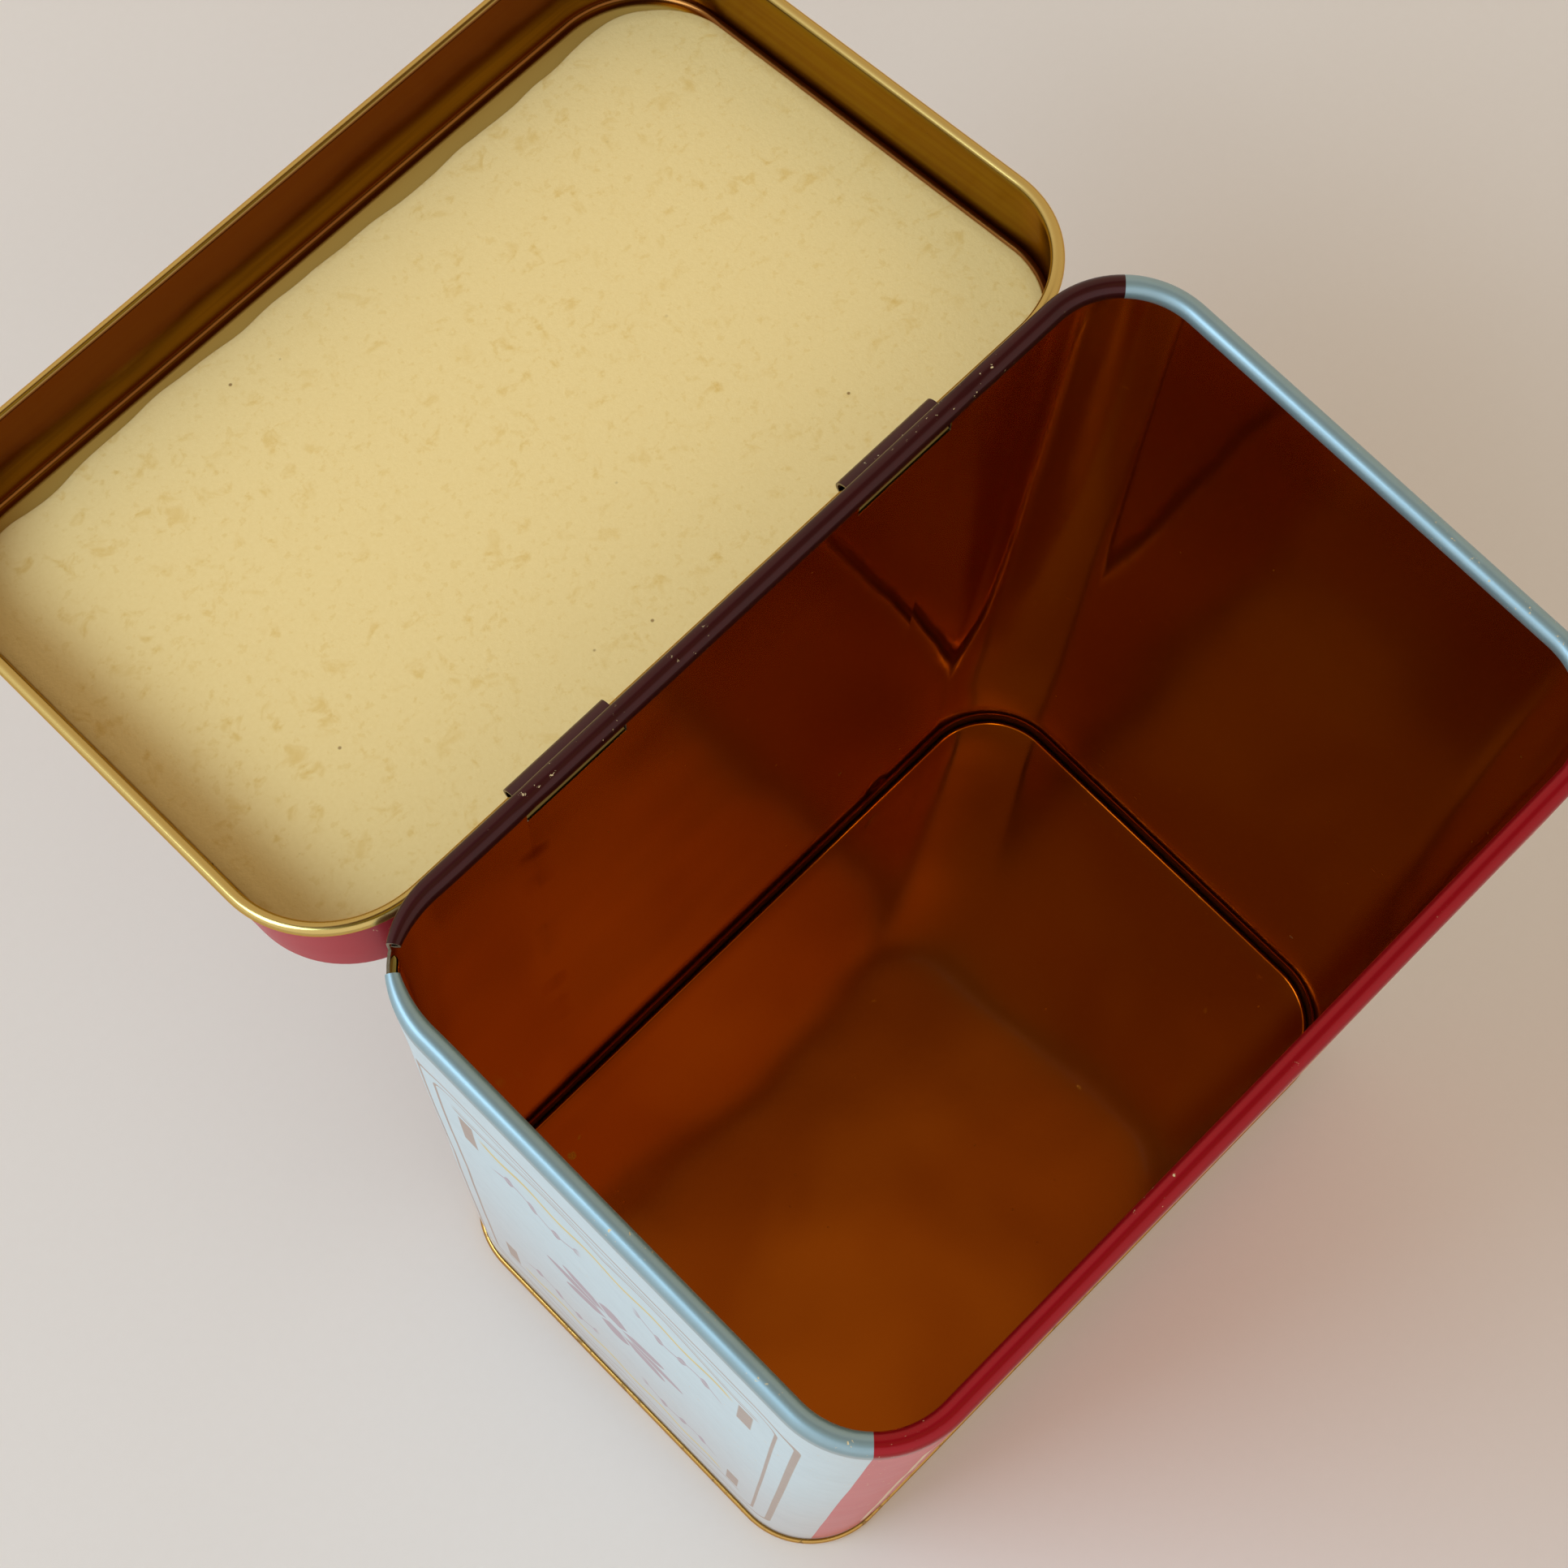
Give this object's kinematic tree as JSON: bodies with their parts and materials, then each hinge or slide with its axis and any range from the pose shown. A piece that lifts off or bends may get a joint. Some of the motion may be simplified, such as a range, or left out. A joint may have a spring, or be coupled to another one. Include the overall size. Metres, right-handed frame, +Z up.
{
  "type": "hinged-lid tin box",
  "caption": "Tall rectangular printed tinplate box with round corners and a hinged drawn lid lined with card, shown open.",
  "frame": {"origin": "centre of the body's footprint on the surface that it stands on", "axes": "+Z up, +X along the long side, +Y towards the hinge side, where the lid hangs open"},
  "size_m": [0.1128, 0.1468, 0.148],
  "materials": {
    "printed_body": "gloss lithographed print outside, gold lacquer inside",
    "gold_lacquer": "glossy gold lacquer on tinplate",
    "printed_lid": "gloss red print outside, gold lacquer inside",
    "liner_card": "matt cream pulp board with fine specks"
  },
  "bodies": {
    "tin_body": {"body_shell": "printed_body", "bottom_end": "gold_lacquer"},
    "tin_lid": {"lid_shell": "printed_lid", "lid_liner": "liner_card"}
  },
  "joints": [
    {"name": "lid_hinge", "type": "hinge", "parent": "tin_body", "child": "tin_lid", "pos_m": [0, 0.03715, 0.1379], "axis": [1, 0, 0], "range_deg": [0, 191.31]}
  ]
}
